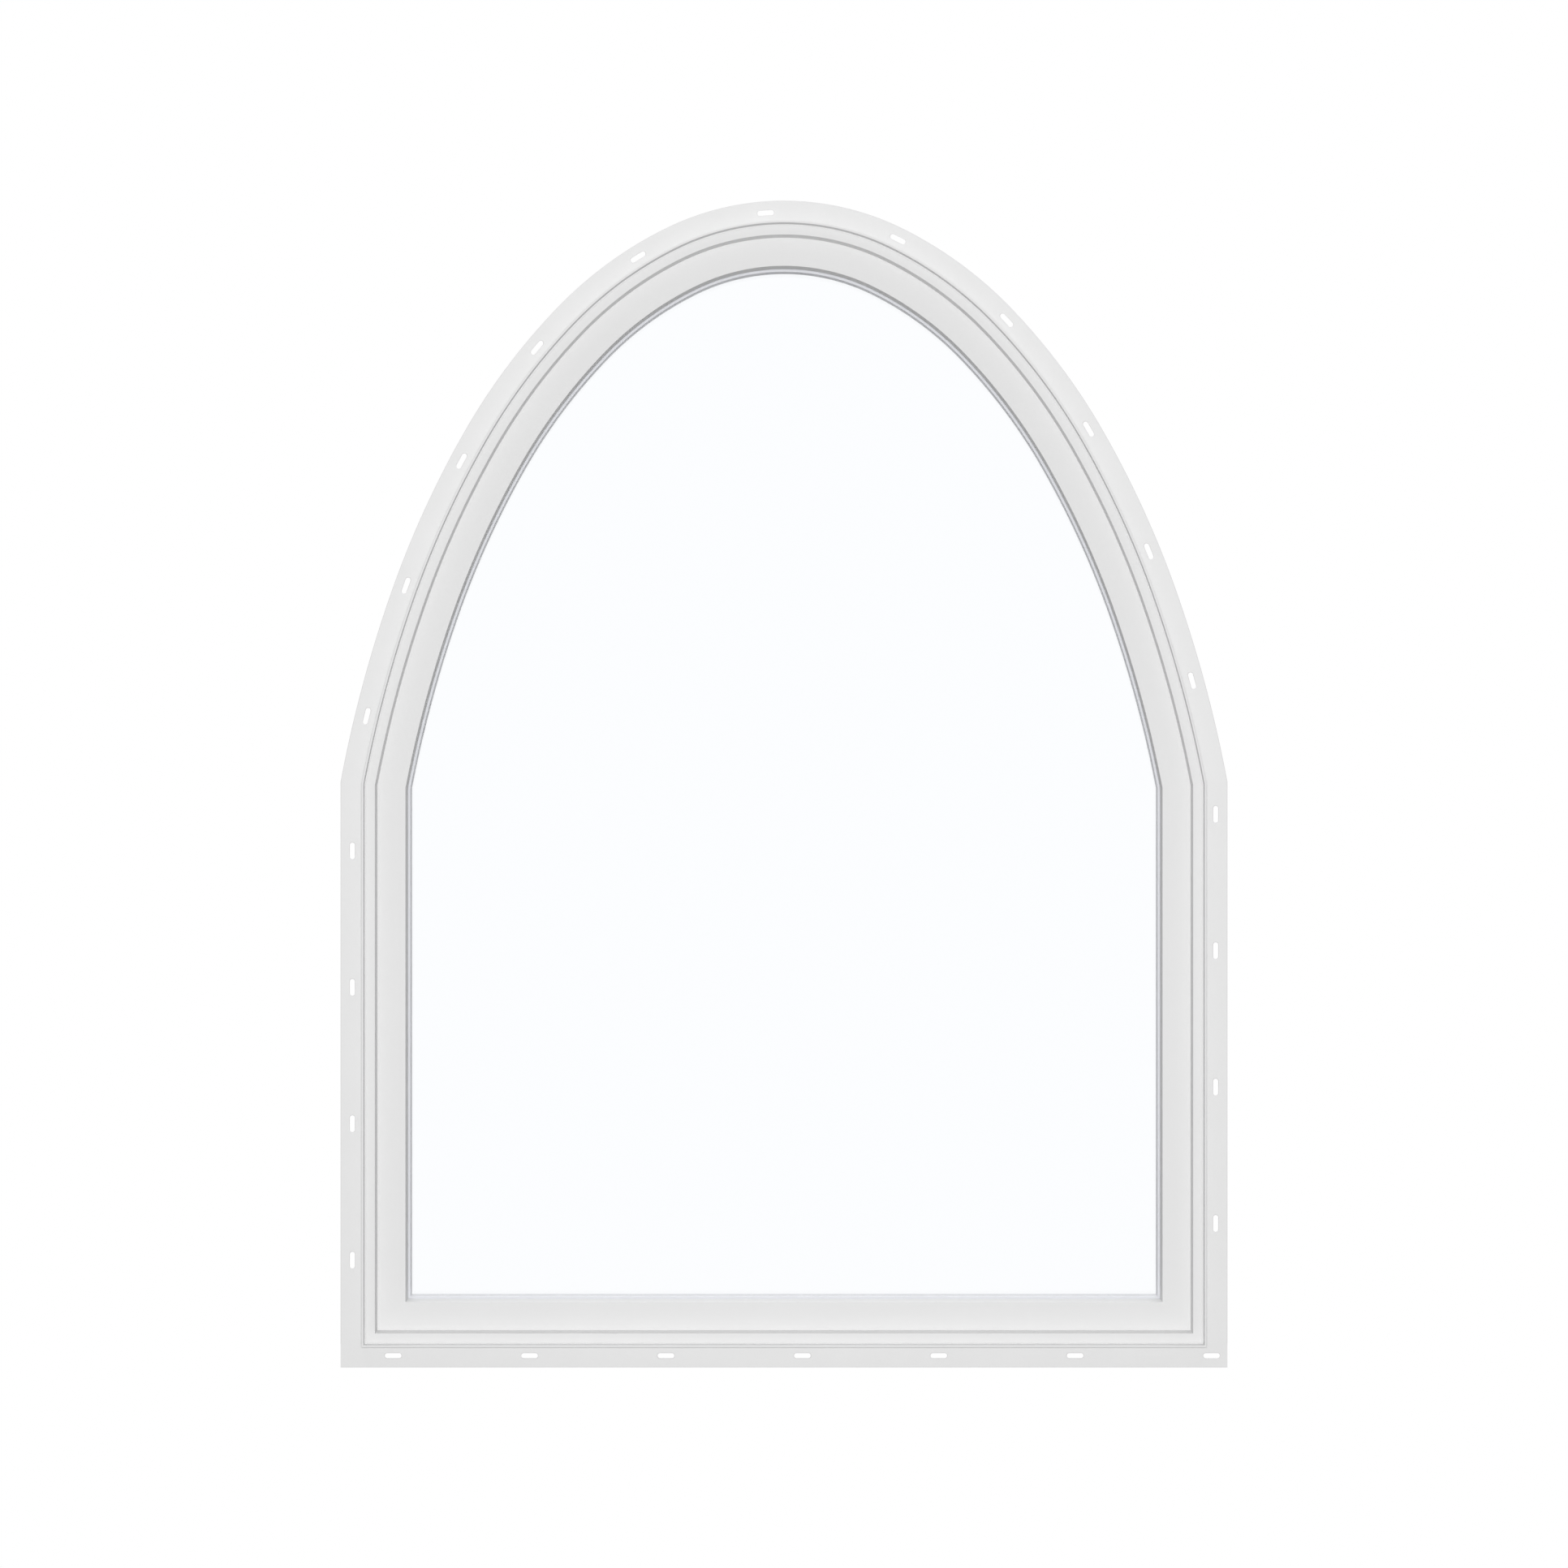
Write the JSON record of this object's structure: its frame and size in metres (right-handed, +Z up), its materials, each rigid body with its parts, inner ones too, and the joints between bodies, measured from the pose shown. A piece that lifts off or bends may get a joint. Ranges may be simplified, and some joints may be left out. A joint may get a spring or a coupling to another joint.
{
  "type": "arched top window frame",
  "caption": "Arched top fixed window: mitred hollow frame and sash, slotted nailing fin all round, sealed double glazing and sloped inside beads.",
  "frame": {"origin": "on the rear face of the nailing fin, on the sill's nail line, at mid-width: the face that lies against the wall", "axes": "+X right and +Z up as seen from outdoors, +Y into the room"},
  "size_m": [0.9652, 0.0889, 1.2699],
  "materials": {
    "white_vinyl": "smooth white extruded vinyl, low sheen",
    "fin_vinyl": "smooth white extruded vinyl strip",
    "clear_glass": "clear float glass with a faint cool tint",
    "spacer_foam": "pale matt warm edge spacer",
    "glazing_tape": "pale closed cell glazing tape",
    "block_rubber": "black matt rubber"
  },
  "bodies": {
    "root": {"frame_sill": "white_vinyl", "frame_left_jamb": "white_vinyl", "frame_right_jamb": "white_vinyl", "frame_arch_head": "white_vinyl", "sash_bottom_rail": "white_vinyl", "sash_left_stile": "white_vinyl", "sash_right_stile": "white_vinyl", "sash_arch_rail": "white_vinyl", "glazing_bead_bottom": "white_vinyl", "glazing_bead_left": "white_vinyl", "glazing_bead_right": "white_vinyl", "glazing_bead_arch": "white_vinyl", "nail_fin_sill": "fin_vinyl", "nail_fin_left": "fin_vinyl", "nail_fin_right": "fin_vinyl", "nail_fin_arch": "fin_vinyl", "outer_pane": "clear_glass", "inner_pane": "clear_glass", "spacer_bar": "spacer_foam", "glazing_tape_bottom": "glazing_tape", "glazing_tape_left": "glazing_tape", "glazing_tape_right": "glazing_tape", "glazing_tape_arch": "glazing_tape", "setting_block_left": "block_rubber", "setting_block_right": "block_rubber"}
  },
  "joints": []
}
